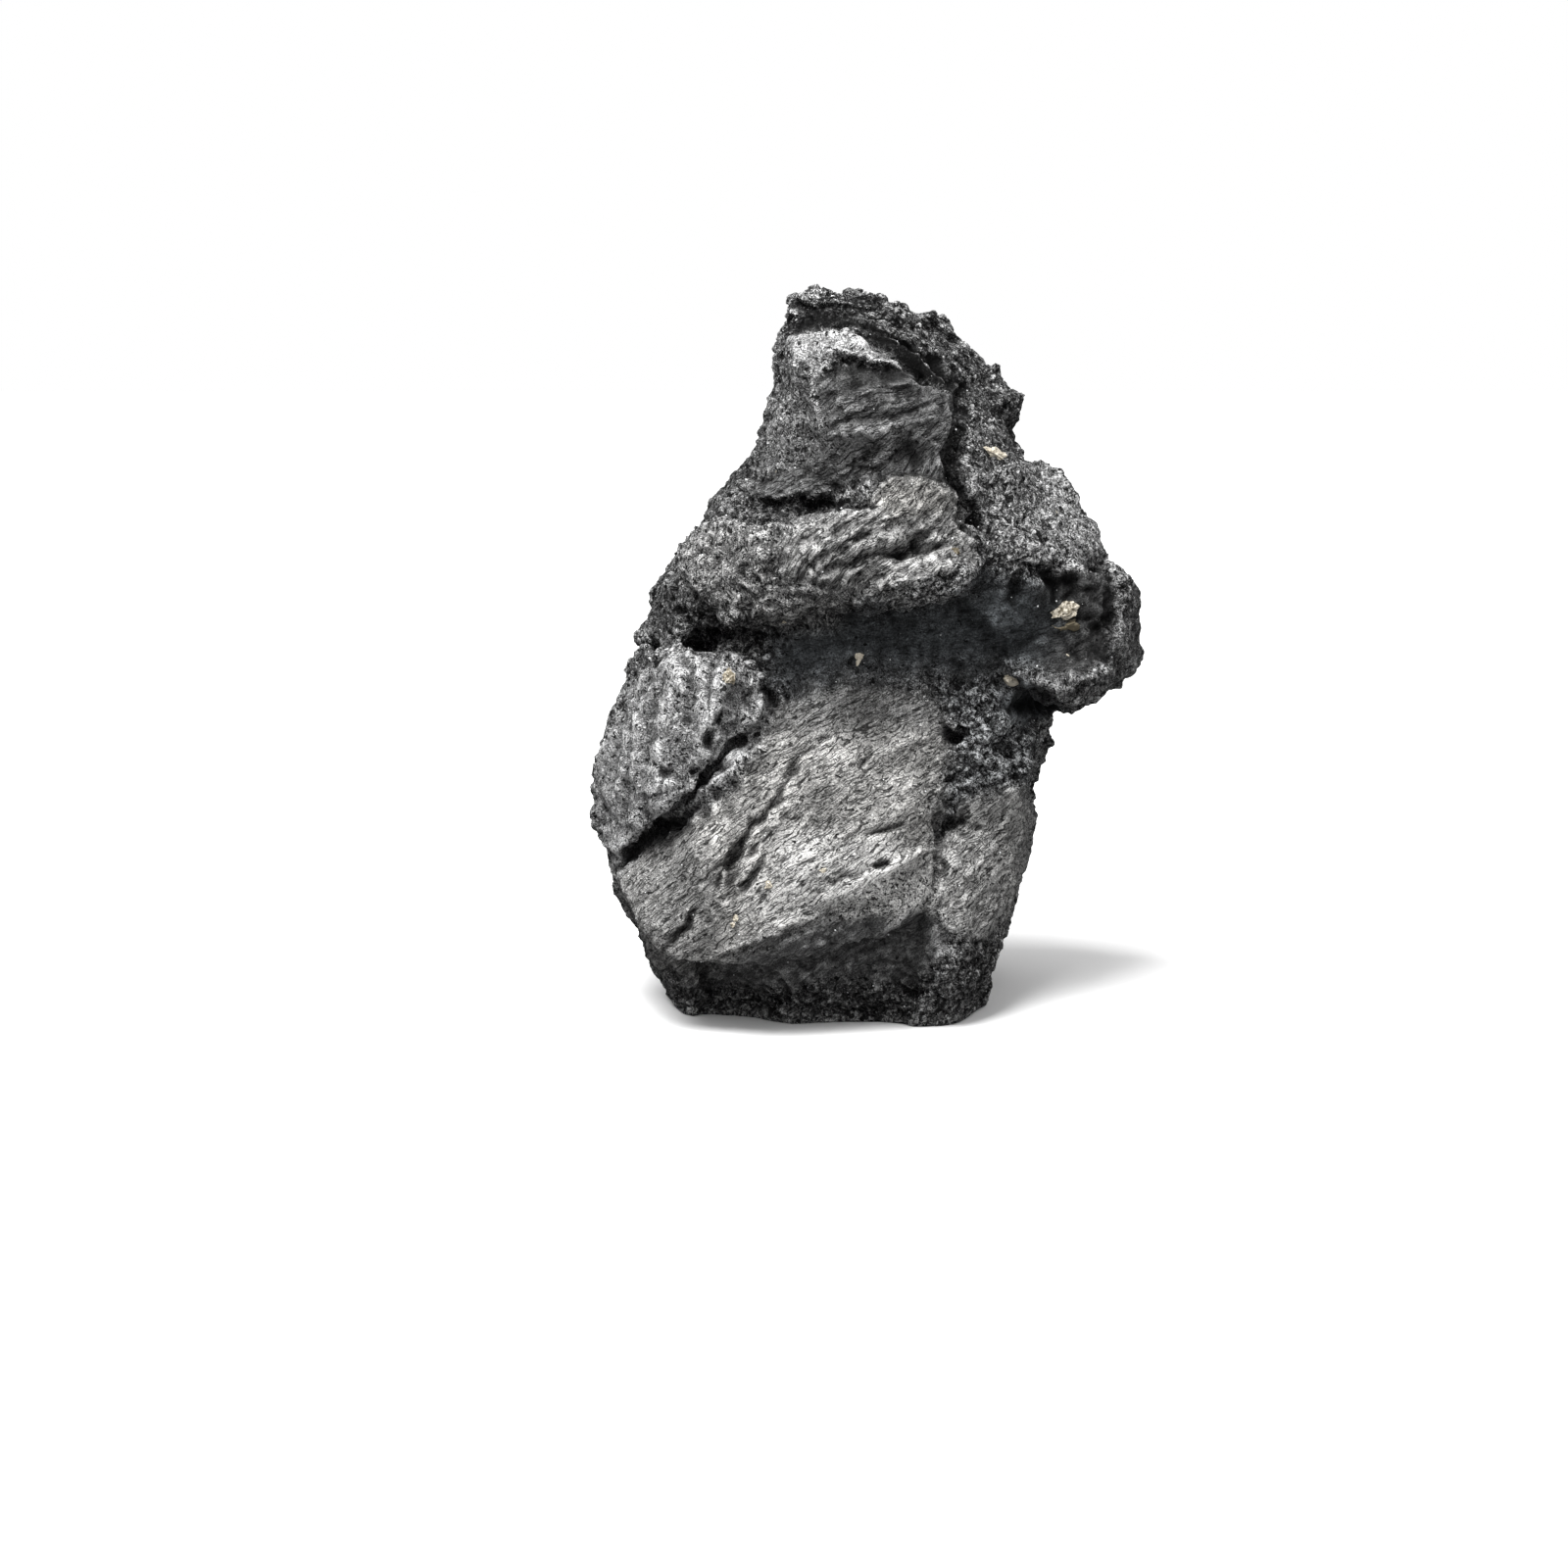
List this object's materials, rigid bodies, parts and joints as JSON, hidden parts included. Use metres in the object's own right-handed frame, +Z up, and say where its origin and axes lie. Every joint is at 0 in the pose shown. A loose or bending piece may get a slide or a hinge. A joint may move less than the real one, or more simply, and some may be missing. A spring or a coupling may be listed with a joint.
{
  "type": "lava rock",
  "caption": "Tall craggy piece of black lava rock with a streaked overhanging front, for an aquascape, resting on a flat foot.",
  "frame": {"origin": "on the ground, under the middle of the stone's bounds", "axes": "+Z up, the streaked front faces -Y, +X to the right as the front is seen"},
  "size_m": [0.1772, 0.1372, 0.2305],
  "materials": {
    "lava": "rough, porous, with smoother streaked faces"
  },
  "bodies": {
    "root": {"lava_rock": "lava"}
  },
  "joints": []
}
